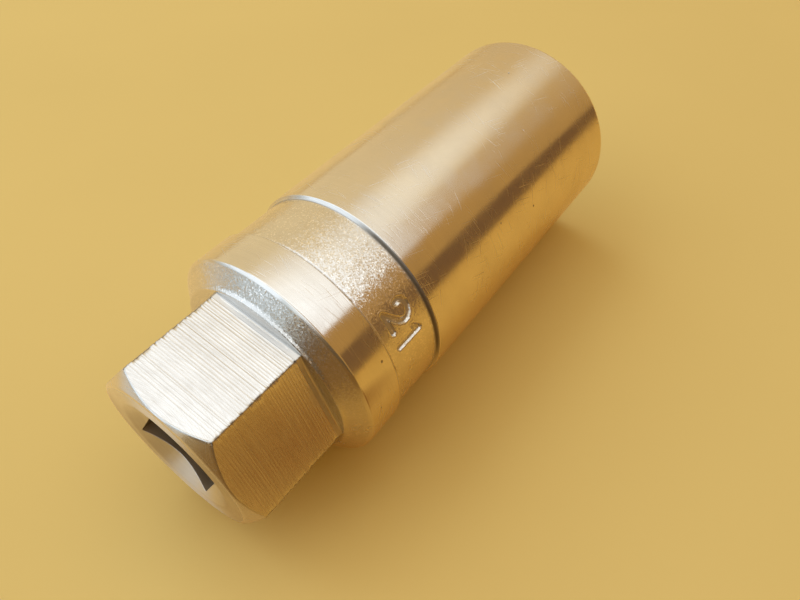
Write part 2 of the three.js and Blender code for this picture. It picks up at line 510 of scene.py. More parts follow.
@dataclass
class SharedEffects:
    """Effects that several finishes use, each one node group.

    A span is the part of a noise, from 0 to 1, over which a mask fades in. Each of the wear's slants
    is an angle in radians with the layer of noise that its scratches are drawn from.
    """

    marks_by_radius: float = 0.73
    weakest_marks: float = 0.3
    mark_detail: float = 2.0
    mark_roughness: float = 0.6
    scratch_stretch: float = 0.37
    scratch_scale: float = 1.6
    scratch_span: Span = (0.68, 0.74)
    smear_detail: float = 3.0
    smear_roughness: float = 0.62
    smear_span: Span = (0.35, 0.68)
    pits_per_mm: float = 0.42
    pit_span: Span = (0.035, 0.075)
    wear_slants: tuple[Span, ...] = ((0.35, 3.0), (-1.15, 8.0), (1.45, 13.0))
    wear_stretch: Point = (0.2, 6.5, 0.0)
    wear_span: Span = (0.74, 0.80)
    worn_scale: float = 0.13
    worn_span: Span = (0.42, 0.62)
    least_worn: float = 0.15
    coarse_scale: float = 0.45
    coarse_share: float = 0.35
    facet_scale: float = 0.7
    speck_span: Span = (0.80, 1.0)
    speck_strength: float = 0.8
    ring_marks: bpy.types.NodeTree = field(init=False)
    handling: bpy.types.NodeTree = field(init=False)
    grain: bpy.types.NodeTree = field(init=False)

    def __post_init__(self) -> None:
        """Builds the groups once."""
        self.ring_marks = self._ring_marks()
        self.handling = self._handling()
        self.grain = self._grain()

    def _ring_marks(self) -> bpy.types.NodeTree:
        """Fine marks that run round the axis, left by a lathe, a belt or a cutter.

        The marks change quickly with the station and, on end faces, with the radius, and slowly
        round the axis. They grow weaker along the barrel.

        Returns:
            The group: pitch, length and where the marks grow weaker in mm, in; height and rare
            scratches, out.
        """
        usual = {"Pitch": 0.1, "Length": 6.0, "Strong To": -6.0, "Weak From": 8.0}
        group, recipe, given, made = new_group("ring_marks", usual, ["Height", "Scratches"])
        x, y, z = recipe.split(axis_vector(recipe))
        square = recipe.maths("ADD", recipe.maths("MULTIPLY", y, y), recipe.maths("MULTIPLY", z, z))
        radius = recipe.maths("SQRT", square)
        along = recipe.maths("ADD", x, recipe.maths("MULTIPLY", radius, self.marks_by_radius))
        fine = recipe.maths("DIVIDE", along, given["Pitch"])
        across = recipe.maths("DIVIDE", y, given["Length"])
        upward = recipe.maths("DIVIDE", z, given["Length"])
        height = recipe.noise(recipe.join(fine, across, upward), 1.0, self.mark_detail, self.mark_roughness)
        loose = recipe.maths("MULTIPLY", fine, self.scratch_stretch)
        rare = recipe.noise(recipe.join(loose, upward, across), self.scratch_scale, 1.0)
        scratch = recipe.remap(rare, *self.scratch_span)
        fade = recipe.remap(x, given["Strong To"], given["Weak From"], 1.0, self.weakest_marks)
        results = {
            "Height": recipe.maths("MULTIPLY", height, fade),
            "Scratches": recipe.maths("MULTIPLY", scratch, fade),
        }
        recipe.feed(made, results)
        return group

    def _handling(self) -> bpy.types.NodeTree:
        """Smears from hands, small pits in the plating, and fine scratches from use.

        The surface is unrolled to its station and the way round. A scratch is a place where noise
        is high that was stretched along a slanting line there, and the slants cross.

        Returns:
            The group: smear size in mm and pit share, in; smear, pit and wear masks, out.
        """
        usual = {"Smear Size": 5.0, "Pit Share": 0.3}
        group, recipe, given, made = new_group("handling", usual, ["Smear", "Pits", "Wear"])
        place = axis_vector(recipe)
        shrink = recipe.maths("DIVIDE", 1.0, given["Smear Size"])
        sized = recipe.vector("SCALE", place, scale=shrink)
        smear = recipe.noise(sized, 1.0, self.smear_detail, self.smear_roughness)
        cells = recipe.node("ShaderNodeTexVoronoi", {"Vector": place, "Scale": self.pits_per_mm}).outputs
        near = recipe.remap(cells["Distance"], *self.pit_span, 1.0, 0.0)
        draw = recipe.node("ShaderNodeSeparateColor", {0: cells["Color"]}).outputs[0]
        kept = recipe.maths("LESS_THAN", draw, given["Pit Share"])
        x, y, z = recipe.split(place)
        around = recipe.maths("MULTIPLY", recipe.maths("ARCTAN2", y, z), AXIS.height)
        unrolled = recipe.join(x, around)
        wear: Socketable = 0.0
        for slant, layer in self.wear_slants:
            way = {"Vector": unrolled, "Angle": slant}
            turned = recipe.node("ShaderNodeVectorRotate", way, rotation_type="Z_AXIS").outputs[0]
            drawn = recipe.vector("MULTIPLY_ADD", turned, self.wear_stretch, (0.0, 0.0, layer))
            lines = recipe.remap(recipe.noise(drawn, 1.0, 0.0), *self.wear_span)
            wear = recipe.maths("MAXIMUM", lines, wear)
        patches = recipe.noise(place, self.worn_scale, 1.0)
        worn = recipe.remap(patches, *self.worn_span, self.least_worn, 1.0)
        results = {
            "Smear": recipe.remap(smear, *self.smear_span),
            "Pits": recipe.maths("MULTIPLY", near, kept),
            "Wear": recipe.maths("MULTIPLY", wear, worn),
        }
        recipe.feed(made, results)
        return group

    def _grain(self) -> bpy.types.NodeTree:
        """The blasted grain that a forged skin keeps under its plating.

        Each grain is a small facet that leans its own way, so it mirrors its own part of the room.

        Returns:
            The group: grain size in mm and how far grains lean, in; height, bright specks and the
            leaning normal, out.
        """
        usual = {"Grain Size": 0.15, "Lean": 0.2}
        group, recipe, given, made = new_group("forged_grain", usual, ["Height", "Specks"], ["Normal"])
        shrink = recipe.maths("DIVIDE", 1.0, given["Grain Size"])
        sized = recipe.vector("SCALE", axis_vector(recipe), scale=shrink)
        coarse = recipe.noise(sized, self.coarse_scale, 1.0)
        cells = recipe.node("ShaderNodeTexVoronoi", {"Vector": sized, "Scale": self.facet_scale}).outputs
        rise = recipe.maths("MULTIPLY", coarse, self.coarse_share)
        pick = recipe.node("ShaderNodeSeparateColor", {0: cells["Color"]}).outputs[2]
        draw = recipe.vector("SUBTRACT", cells["Color"], (0.5, 0.5, 0.5))
        lean = recipe.vector("SCALE", draw, scale=given["Lean"])
        plain = recipe.node("ShaderNodeNewGeometry").outputs["Normal"]
        results = {
            "Height": recipe.maths("ADD", cells["Distance"], rise),
            "Specks": recipe.remap(pick, *self.speck_span, 0.0, self.speck_strength),
            "Normal": recipe.vector("NORMALIZE", recipe.vector("ADD", plain, lean)),
        }
        recipe.feed(made, results)
        return group


def new_material(
    name: str,
    kind: str = "ShaderNodeBsdfPrincipled",
) -> tuple[bpy.types.Material, Recipe, bpy.types.Node]:
    """Starts a material with one shader.

    Args:
        name: The material's name.
        kind: The shader node's type name.

    Returns:
        The material, a recipe for it, and its shader.
    """
    material = bpy.data.materials.new(name)
    material.use_nodes = True
    material.node_tree.nodes.clear()
    recipe = Recipe(material.node_tree)
    shader = recipe.node(kind)
    recipe.node("ShaderNodeOutputMaterial", {"Surface": shader.outputs[0]})
    return material, recipe, shader


@dataclass(frozen=True)
class PlatedSteel:
    """Chrome plate over steel that was turned, milled, forged or bored.

    Sizes are mm and depths micrometres. Where its depth is set, the grain is added to the ring
    marks. The groove spread is how much further a reflection spreads across the lathe's grooves
    than along them. Tints are shares of the dark colour.
    """

    name: str
    colour: Colour
    dark_colour: Colour
    roughness: float
    smeared_roughness: float
    mark_pitch: float = 0.1
    mark_length: float = 6.0
    mark_depth: float = 1.0
    mark_span: Span = (0.35, 0.65)
    mark_tint: float = 0.0
    scratch_depth: float = 1.0
    grain_size: float = 0.15
    grain_depth: float = 0.0
    grain_lean: float = 0.0
    speck_colour: Colour = (0.92, 0.91, 0.89)
    pit_share: float = 0.0
    pit_depth: float = 30.0
    smear_size: float = 5.0
    smear_tint: float = 0.12
    dirt_roughness: float = 0.3
    groove_spread: float = 0.0
    wear: float = 0.0
    wear_depth: float = 12.0

    def build(self, effects: SharedEffects) -> bpy.types.Material:
        """Makes the material.

        Args:
            effects: The shared node groups.

        Returns:
            The material.
        """
        material, recipe, shader = new_material(self.name)
        marks = recipe.group(effects.ring_marks, {"Pitch": self.mark_pitch, "Length": self.mark_length})
        hands = recipe.group(effects.handling, {"Smear Size": self.smear_size, "Pit Share": self.pit_share})
        # Pits, soiling and painted shade darken the colour and roughen the surface.
        dirt_and_shade = recipe.maths("MAXIMUM", hands["Pits"], dirt_and_shade_mask(recipe))
        uneven = recipe.remap(hands["Smear"], 0.0, 1.0, 0.0, self.smear_tint)
        lines = recipe.remap(marks["Height"], *self.mark_span, 0.0, self.mark_tint)
        darker = recipe.maths("MAXIMUM", recipe.maths("ADD", uneven, lines), dirt_and_shade)
        colour = recipe.tint(darker, self.colour, self.dark_colour)
        worn = recipe.maths("MULTIPLY", hands["Wear"], self.wear)
        rough = recipe.remap(hands["Smear"], 0.0, 1.0, self.roughness, self.smeared_roughness)
        rough = recipe.maths("ADD", rough, recipe.maths("MULTIPLY", dirt_and_shade, self.dirt_roughness))
        rough = recipe.maths("ADD", rough, worn)
        height = recipe.maths("MULTIPLY", marks["Height"], self.mark_depth)
        for mask, depth in (
            (marks["Scratches"], self.scratch_depth),
            (hands["Pits"], self.pit_depth),
            (worn, self.wear_depth),
        ):
            height = recipe.maths("ADD", height, recipe.maths("MULTIPLY", mask, -depth))
        bump: Inputs = {"Strength": 1.0, "Distance": MICROMETRE}
        if self.grain_depth > 0:
            grain = recipe.group(effects.grain, {"Grain Size": self.grain_size, "Lean": self.grain_lean})
            height = recipe.maths("ADD", height, recipe.maths("MULTIPLY", grain["Height"], self.grain_depth))
            colour = recipe.tint(grain["Specks"], colour, self.speck_colour)
            bump["Normal"] = grain["Normal"]
        bump["Height"] = height
        dress = {
            "Base Color": colour,
            "Metallic": 1.0,
            "Roughness": rough,
            "Normal": recipe.node("ShaderNodeBump", bump).outputs[0],
        }
        recipe.feed(shader, dress)
        if self.groove_spread > 0:
            grooves = {
                "Anisotropic": self.groove_spread,
                "Anisotropic Rotation": QUARTER_TURN,
                "Tangent": groove_direction(recipe),
            }
            recipe.feed(shader, grooves)
        return material


@dataclass(frozen=True)
class MouldedRubber:
    """Matt black rubber with a fine mould texture, and a paler bloom in places.

    Sizes are mm and depths micrometres.
    """

    name: str = "insert_rubber"
    colour: Colour = (0.025, 0.025, 0.027)
    bloom_colour: Colour = (0.045, 0.044, 0.042)
    roughness: float = 0.55
    bloom_roughness: float = 0.82
    bloom_size: float = 3.0
    bloom_share: float = 0.6
    shine: float = 0.4
    texture_size: float = 0.22
    texture_depth: float = 9.0

    def build(self, effects: SharedEffects) -> bpy.types.Material:
        """Makes the material.

        Args:
            effects: The shared node groups.

        Returns:
            The material.
        """
        material, recipe, shader = new_material(self.name)
        hands = recipe.group(effects.handling, {"Smear Size": self.bloom_size, "Pit Share": 0.0})
        grain = recipe.group(effects.grain, {"Grain Size": self.texture_size})
        patches = recipe.maths("MULTIPLY", hands["Smear"], self.bloom_share)
        bloom = recipe.maths("MAXIMUM", patches, dirt_and_shade_mask(recipe))
        height = recipe.maths("MULTIPLY", grain["Height"], self.texture_depth)
        bump = {"Height": height, "Strength": 1.0, "Distance": MICROMETRE}
        dress = {
            "Base Color": recipe.tint(bloom, self.colour, self.bloom_colour),
            "Roughness": recipe.remap(bloom, 0.0, 1.0, self.roughness, self.bloom_roughness),
            "Normal": recipe.node("ShaderNodeBump", bump).outputs[0],
            "Specular IOR Level": self.shine,
        }
        recipe.feed(shader, dress)
        return material


@dataclass
class SizeFigure:
    """The plain size figure that is struck into the band, a 2 and a 1.

    Its points are a station in mm and a turn in degrees, and the turns that bound it are degrees. It
    reads with its top towards the mouth. The burr's place is a share of the edge's half width.
    """

    two_top: tuple[Span, ...] = ((23.62, 51.2), (24.1, 50.9), (24.5, 51.9), (24.74, 54.0), (24.74, 56.4))
    two_back: tuple[Span, ...] = ((24.5, 58.7), (24.05, 60.2), (23.5, 60.4), (23.0, 59.3), (22.5, 57.0))
    two_foot: tuple[Span, ...] = ((22.0, 54.2), (21.5, 51.4), (21.5, 61.2))
    one: tuple[Span, ...] = ((24.15, 66.2), (24.9, 69.3), (21.35, 69.3))
    depth: float = 0.26
    floor_half_width: float = 0.17
    edge_half_width: float = 0.4
    burr: float = 0.02
    burr_place: float = 1.3
    burr_reach: float = 0.09
    dirt_and_shade: float = 0.45
    low_turn: float = 47.5
    high_turn: float = 73.0
    low_station: float = 20.85
    high_station: float = 25.4

    def sunk(self, station: np.ndarray, turn: np.ndarray, radius: float) -> tuple[np.ndarray, np.ndarray]:
        """How deep the figure lies below the band.

        The depth falls from the stroke's floor to its edge with the weight 1 - 3t^2 + 2t^3, and a
        low burr stands round it.

        Args:
            station: Stations, mm.
            turn: Turns, radians.
            radius: The band's radius, mm.

        Returns:
            The depth in mm, and the share of soiling and painted shade that lies in it.
        """
        wrapped = (np.degrees(turn) + 180) % 360 - 180
        around = np.radians(wrapped) * radius
        distance = np.full(station.shape, FAR)
        for path in (self.two_top + self.two_back + self.two_foot, self.one):
            stroke = np.array([(s, math.radians(t) * radius) for s, t in path])
            distance = np.minimum(distance, stroke_distance(station, around, stroke))
        share = (distance - self.floor_half_width) / (self.edge_half_width - self.floor_half_width)
        share = np.clip(share, 0, 1)
        weight = 1 - share**2 * (3 - 2 * share)
        past_burr = distance - self.burr_place * self.edge_half_width
        rim = self.burr * np.exp(-((past_burr / self.burr_reach) ** 2))
        # The strokes are darker towards their floors: soiling and painted shade.
        return self.depth * weight - rim, self.dirt_and_shade * weight**2


@dataclass
class SocketBody:
    """The forged body: hexagon, shoulder, collar, band and barrel outside, and the recesses inside.

    Lengths are mm and turns radians. What says degrees in its name, and the columns beside a ridge or a
    corner, are degrees. A line of painted shade is its distance past an edge, its reach and its share. The
    numbers in capitals are places in the list of the profile's corners.
    """

    FLATS: ClassVar[tuple[int, ...]] = (1, 2, 3)
    RUN_OUT: ClassVar[int] = 4
    END_WALL: ClassVar[int] = 5
    BAND: ClassVar[int] = 12
    FORGED_SKIN: ClassVar[tuple[int, ...]] = (6, 7, 12)
    BAND_AND_EDGES: ClassVar[tuple[int, ...]] = (10, 11, 12, 13)
    DEEP_INSIDE: ClassVar[tuple[int, ...]] = (22, 23, 24, 25, 26, 27)
    SQUARE_WALLS: ClassVar[tuple[int, ...]] = (25, 26, 27)

    hex_root: float = 12.8
    collar_front: float = 14.5
    collar_rear: float = 19.45
    band_start: float = 19.9
    lip_foot: float = 26.88
    lip_top: float = 27.22
    mouth_station: float = 70.0
    hex_across: float = 19.8
    hex_turn: float = math.radians(40)
    ridge_round: float = 0.14
    face_radius: float = 9.65
    chamfer_slope: float = math.tan(math.radians(38))
    run_out_length: float = 0.06
    run_out_depth: float = 0.018
    root_length: float = 0.02
    root_depth: float = 0.012
    blank_radius: float = 11.5815
    blank_start: float = 0.03
    ledge_length: float = 0.4
    ledge_rise: float = 0.28
    turned_radius: float = 14.0
    collar_edge: float = 0.25
    step_length: float = 0.16
    step_depth: float = 0.07
    band_radius: float = 13.6
    lip_depth: float = 0.02
    cut_start: float = 1.55
    cut_end: float = 12.05
    cut_pitch: float = 0.33
    cut_jitter: float = 0.24
    cut_seed: int = 11
    lead_passes: int = 5
    cut_depth: float = 0.013
    pass_edge: float = 0.16
    pass_seed: int = 5
    pass_shares: Span = (0.5, 1.0)
    line_dirt: Span = (0.2, 0.5)
    floor_dirt: Span = (0.0, 0.14)
    floor_reach: float = 0.34
    nick_depth: float = 0.1
    nick_length: float = 0.19
    nick_lift: float = 0.35
    nick_seed: int = 21
    nick_degrees: float = 1.0
    ridge_shade_degrees: float = 0.6
    root_shade: float = 0.6
    root_shade_reach: float = 0.13
    collar_step_shade: tuple[float, float, float] = (0.14, 0.17, 0.95)
    lip_foot_shade: tuple[float, float, float] = (0.0, 0.06, 0.6)
    lip_side_shade: tuple[float, float, float] = (0.1, 0.26, 0.95)
    lip_shade_degrees: tuple[float, float, float, float] = (8.0, 26.0, 85.0, 115.0)
    deep_shade: float = 0.5
    deep_station: float = 4.0
    forged_rise: float = 0.007
    forged_cell: float = 1.1
    forged_round_cells: int = 76
    forged_seed: int = 3
    square_across: float = 9.6
    square_turn: float = math.radians(75)
    square_round: float = 0.15
    square_depth: float = 11.2
    square_mouth_radius: float = 7.288
    square_mouth_slope: float = math.tan(math.radians(27))
    detent_station: float = 5.6
    detent_reach: float = 3.3
    detent_ball: float = 2.4
    detent_rows_reach: float = 2.1
    chamber_radius: float = 6.888
    seat_rear: float = 20.45
    seat_front: float = 43.55
    seat_radius: float = 10.4
    plug_across: float = 21.0
    plug_round: float = 0.35
    mouth_edge: float = 0.7
    mouth_round_share: float = 0.6
    lead_in_radius: float = 12.304
    lead_in_length: float = 1.1
    column_degrees: float = 4.0
    figure_degrees: float = 0.38
    figure_rows: float = 0.09
    plain_band_rows: tuple[float, ...] = (20.1, 20.45, 25.8, 26.2, 26.6, 26.8)
    beside_ridge: tuple[float, ...] = (-2.0, -0.95, -0.6, -0.3, 0.0, 0.3, 0.6, 0.95, 2.0)
    beside_corner: tuple[float, ...] = (-4.4, -2.2, 0.0, 2.2, 4.4)
    clear_of_ridge: float = 0.7
    least_degrees: float = 0.12
    figure: SizeFigure = field(default_factory=SizeFigure)

    def columns(self) -> np.ndarray:
        """The turns of the columns.

        Even columns all round, close ones beside each hexagon ridge and square corner, and fine
        ones under the size figure.

        Returns:
            The turns, radians, rising from 0.
        """
        even = np.arange(0, 360, self.column_degrees)
        inside = (even > self.figure.low_turn) & (even < self.figure.high_turn)
        figure = np.arange(self.figure.low_turn, self.figure.high_turn, self.figure_degrees)
        ridges = math.degrees(self.hex_turn) + 60 * np.arange(6)
        corners = math.degrees(self.square_turn) + 90 * np.arange(4)
        ridge_turns = (ridges[:, None] + np.array(self.beside_ridge)).ravel() % 360
        square_turns = (corners[:, None] + np.array(self.beside_corner)).ravel() % 360
        plain = np.concatenate([even[~inside], square_turns])
        gap = np.abs((plain[:, None] - ridge_turns[None, :] + 180) % 360 - 180).min(axis=1)
        plain = plain[gap > self.clear_of_ridge]
        turns = np.unique(np.round(np.concatenate([plain, ridge_turns, figure]), 3))
        keep = np.append(True, np.diff(turns) > self.least_degrees)
        return np.radians(turns[keep])

    def cusps(self) -> np.ndarray:
        """The stations of the ridges between the cutter's passes, mm, at an uneven pitch."""
        count = round((self.cut_end - self.cut_start) / self.cut_pitch)
        jitter = np.random.default_rng(self.cut_seed).uniform(-1, 1, count + 1) * self.cut_jitter
        jitter[[0, -1]] = 0
        return np.linspace(self.cut_start, self.cut_end, count + 1) + jitter * self.cut_pitch

    def profile(self, turn: np.ndarray) -> list[Corner]:
        """The closed profile, from the drive end face round the outside and back through the inside.

        Args:
            turn: The columns' turns, radians.

        Returns:
            The corners in order.
        """
        flat = polygon_radius(turn, self.hex_across, 6, self.hex_turn, self.ridge_round)
        square = polygon_radius(turn, self.square_across, 4, self.square_turn, self.square_round)
        plug = polygon_radius(turn, self.plug_across, 6, self.hex_turn, self.plug_round)
        crease = (flat - self.face_radius) * self.chamfer_slope
        cusps = self.cusps()
        pass_rows = [0, self.pass_edge, 0.5, 1 - self.pass_edge]
        passes = cusps[:-1, None] + np.diff(cusps)[:, None] * pass_rows
        steps = np.append(passes.ravel(), cusps[-1])
        cut_shares = (steps - self.cut_start) / (self.cut_end - self.cut_start)
        fine_rows = np.arange(self.figure.low_station, self.figure.high_station, self.figure_rows)
        band_rows = np.sort(np.concatenate([self.plain_band_rows, fine_rows]))
        band_shares = (band_rows - self.band_start) / (self.lip_foot - self.band_start)
        lead_in = (self.lead_in_radius - plug) * self.lead_in_length
        lead_in = lead_in / (self.lead_in_radius - self.plug_across / 2)
        mouth = self.mouth_station
        edge = self.mouth_edge
        bevel = edge * BEVEL_SHARE
        collar_front = self.collar_front
        collar_edge = self.collar_edge
        ledge_end = self.hex_root + self.ledge_length
        bore_start = (self.square_mouth_radius - square) * self.square_mouth_slope
        detent_start = self.detent_station - self.detent_rows_reach
        detent_end = self.detent_station + self.detent_rows_reach
        turned, milled, forged = Finish.TURNED, Finish.MILLED, Finish.FORGED
        bore, faced, broached = Finish.BORE, Finish.FACED, Finish.SQUARE
        return [
            Corner(0.0, self.face_radius, turned, 0.2, 4),
            Corner(crease, flat, milled, 0.12, 8),
            Corner(self.cut_start, flat, milled, 0.0, shares=cut_shares[1:-1]),
            Corner(self.cut_end, flat, milled, 0.0, 1),
            Corner(self.cut_end + self.run_out_length, flat - self.run_out_depth, milled, 0.0, 3),
            Corner(self.hex_root + self.root_length, flat - self.root_depth, milled, 0.5, 3),
            Corner(self.hex_root + self.blank_start, self.blank_radius, forged, 0.16, 0),
            Corner(ledge_end, self.blank_radius + self.ledge_rise, forged, 0.2, 8),
            Corner(collar_front, self.turned_radius - collar_edge, turned, 0.1, 0),
            Corner(collar_front + collar_edge, self.turned_radius, turned, 0.12, 5),
            Corner(self.collar_rear, self.turned_radius, turned, 0.06, 0),
            Corner(self.collar_rear + self.step_length, self.band_radius - self.step_depth, forged, 0.07, 0),
            Corner(self.band_start, self.band_radius, forged, 0.08, shares=band_shares),
            Corner(self.lip_foot, self.band_radius - self.lip_depth, milled, 0.05, 3),
            Corner(self.lip_top, self.turned_radius, turned, 0.06, 6),
            Corner(mouth - edge, self.turned_radius, turned, 0.0, 0),
            Corner(mouth - bevel, self.turned_radius - bevel, turned, edge * self.mouth_round_share, 0),
            Corner(mouth, self.turned_radius - edge, turned, 0.1, 2),
            Corner(mouth, self.lead_in_radius, bore, 0.12, 4),
            Corner(mouth - lead_in, plug, bore, 0.15, 8),
            Corner(self.seat_front, plug, bore, 0.12, 1),
            Corner(self.seat_front, self.seat_radius, bore, 0.12, 3),
            Corner(self.seat_rear, self.seat_radius, bore, 0.12, 2),
            Corner(self.seat_rear, self.chamber_radius, bore, 0.12, 2),
            Corner(self.square_depth, self.chamber_radius, broached, 0.12, 1),
            Corner(self.square_depth, square, broached, 0.1, 3),
            Corner(detent_end, square, broached, 0.0, 18),
            Corner(detent_start, square, broached, 0.0, 3),
            Corner(bore_start, square, faced, 0.04, 5),
            Corner(0.0, self.square_mouth_radius, faced, 0.12, 3),
        ]

    def cut_marks(self, surface: Surface) -> tuple[np.ndarray, np.ndarray]:
        """How deep the cutter's passes lie below the flats' ridges, the soiling between them, and a painted
        dark line along the ridges.

        A pass is a shallow trough with a level floor; its depth is drawn anew for each flat, so the
        hexagon's ridges come out uneven. Soiling lies in a thin line at each pass's edge. A line of painted
        shade runs along the hexagon's ridges, darker where noise along them is high, and there they are
        nicked.

        Args:
            surface: The carried profile.

        Returns:
            The depth in mm and the share of soiling and painted shade, rows by columns.
        """
        cusps = self.cusps()
        before = cusps[0] - self.lead_passes * self.cut_pitch
        lead = np.arange(before, cusps[0] - self.cut_pitch / 2, self.cut_pitch)
        edges = np.concatenate([lead, cusps])
        index = np.clip(np.searchsorted(edges, surface.station, side="right") - 1, 0, len(edges) - 2)
        width = edges[index + 1] - edges[index]
        place = (surface.station - edges[index]) / width
        trough = np.clip(np.minimum(place, 1 - place) / self.pass_edge, 0, 1)
        side = (np.floor((surface.turn - self.hex_turn) / SIXTH_TURN) % 6).astype(int)
        draw = np.random.default_rng(self.pass_seed)
        depths = draw.uniform(*self.pass_shares, (6, len(edges)))
        lines = draw.uniform(*self.line_dirt, (6, len(edges) + 1))
        middles = draw.uniform(*self.floor_dirt, (6, len(edges)))
        nearest = index + (place > 0.5)
        middle = np.clip(1 - np.abs(place - 0.5) / self.floor_reach, 0, 1)
        dirt_and_shade = lines[side, nearest] * (1 - trough) + middles[side, index] * middle
        off = (surface.turn - self.hex_turn + SIXTH_TURN / 2) % SIXTH_TURN - SIXTH_TURN / 2
        along = lattice_noise(surface.station, surface.turn, self.nick_length, 6, self.nick_seed)
        nicks = np.clip(self.nick_lift + along, 0, 1)
        # Painted shade: a dark line along each ridge, darker where it is nicked.
        ridge_shade = np.exp(-((off / math.radians(self.ridge_shade_degrees)) ** 2))
        dirt_and_shade = np.maximum(dirt_and_shade, (0.5 + 0.5 * nicks) * ridge_shade)
        ridge = np.exp(-((off / math.radians(self.nick_degrees)) ** 2))
        return self.cut_depth * depths[side, index] * trough + self.nick_depth * ridge * nicks, dirt_and_shade

    def detents(self, surface: Surface, rows: np.ndarray) -> None:
        """Presses a round hollow into each wall of the square, for the ball of the drive.

        The hollow's radius is the far crossing of the line from the axis with a ball.

        Args:
            surface: The carried profile, changed in place.
            rows: A mask of the square's rows.
        """
        station = surface.station[rows]
        turn = surface.turn[rows]
        wedge = math.radians(45)
        off = (turn - self.square_turn) % (2 * wedge) - wedge
        along = self.detent_reach * np.cos(off)
        apart = self.detent_reach**2 + (station - self.detent_station) ** 2 - self.detent_ball**2
        under = along**2 - apart
        crossing = np.where(under > 0, along + np.sqrt(np.maximum(under, 0)), 0)
        surface.radius[rows] = np.maximum(surface.radius[rows], crossing)

    def side_share(self, turn: np.ndarray) -> np.ndarray:
        """How much painted shade lies on the lip at a turn: none on top and dark on one side.

        The share rises and falls with the weight 3t^2 - 2t^3 between the four turns given.

        Args:
            turn: Turns, radians.

        Returns:
            The share, 0 to 1.
        """
        degrees = (np.degrees(turn) + 180) % 360 - 180
        start, full, fading, end = self.lip_shade_degrees
        rise = np.clip((degrees - start) / (full - start), 0, 1)
        fall = np.clip((end - degrees) / (end - fading), 0, 1)
        return rise**2 * (3 - 2 * rise) * fall**2 * (3 - 2 * fall)

    def build(self, materials: list[bpy.types.Material]) -> bpy.types.Object:
        """Makes the body.

        Args:
            materials: One material for each finish, in the order of Finish.

        Returns:
            The piece.
        """
        turns = self.columns()
        surface = carry_profile(self.profile(turns), turns)
        grime_and_shade = np.zeros(surface.station.shape)
        depth, dirt_and_shade = self.cut_marks(surface)
        flats = surface.rows_of(*self.FLATS)[:, None] & (surface.station < self.cut_end)
        surface.radius = surface.radius - np.where(flats, depth, 0)
        grime_and_shade = add_dirt_and_shade(grime_and_shade, surface.rows_of(*self.FLATS, self.RUN_OUT), dirt_and_shade)
        cells = (self.forged_cell, self.forged_round_cells, self.forged_seed)
        noise = lattice_noise(surface.station, surface.turn, *cells)
        forged = surface.rows_of(*self.FORGED_SKIN)[:, None]
        uneven = self.forged_rise * noise - self.forged_rise
        surface.radius = surface.radius + np.where(forged, uneven, 0)
        depth, dirt_and_shade = self.figure.sunk(surface.station, surface.turn, self.band_radius)
        band = surface.rows_of(self.BAND)
        surface.radius = surface.radius - np.where(band[:, None], depth, 0)
        grime_and_shade = add_dirt_and_shade(grime_and_shade, band, dirt_and_shade)
        self.detents(surface, surface.rows_of(*self.SQUARE_WALLS))
        one_side = self.side_share(surface.turn)
        # Painted shade in lines: in the step behind the collar, at the lip's foot, and on one side of the
        # lip.
        for edge, (past, reach, share), where in (
            (self.collar_rear, self.collar_step_shade, 1.0),
            (self.lip_foot, self.lip_foot_shade, 1.0),
            (self.lip_foot, self.lip_side_shade, one_side),
        ):
            line = share * where * np.exp(-(((surface.station - (edge + past)) / reach) ** 2))
            grime_and_shade = add_dirt_and_shade(grime_and_shade, surface.rows_of(*self.BAND_AND_EDGES), line)
        # Painted shade in the crease at the hexagon's root.
        flat = polygon_radius(surface.turn, self.hex_across, 6, self.hex_turn, self.ridge_round)
        apart = np.hypot(surface.station - self.hex_root, surface.radius - flat)
        root = self.root_shade * np.exp(-((apart / self.root_shade_reach) ** 2))
        grime_and_shade = add_dirt_and_shade(grime_and_shade, surface.rows_of(self.RUN_OUT, self.END_WALL), root)
        # Painted shade: darker further in from the drive end inside the square and the bore.
        deep = np.clip(surface.station / self.deep_station, 0, 1) * self.deep_shade
        grime_and_shade = add_dirt_and_shade(grime_and_shade, surface.rows_of(*self.DEEP_INSIDE), deep)
        piece = write_mesh("plated_body", surface, grime_and_shade, materials)
        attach(piece, "socket")
        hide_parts("socket_body")
        return piece


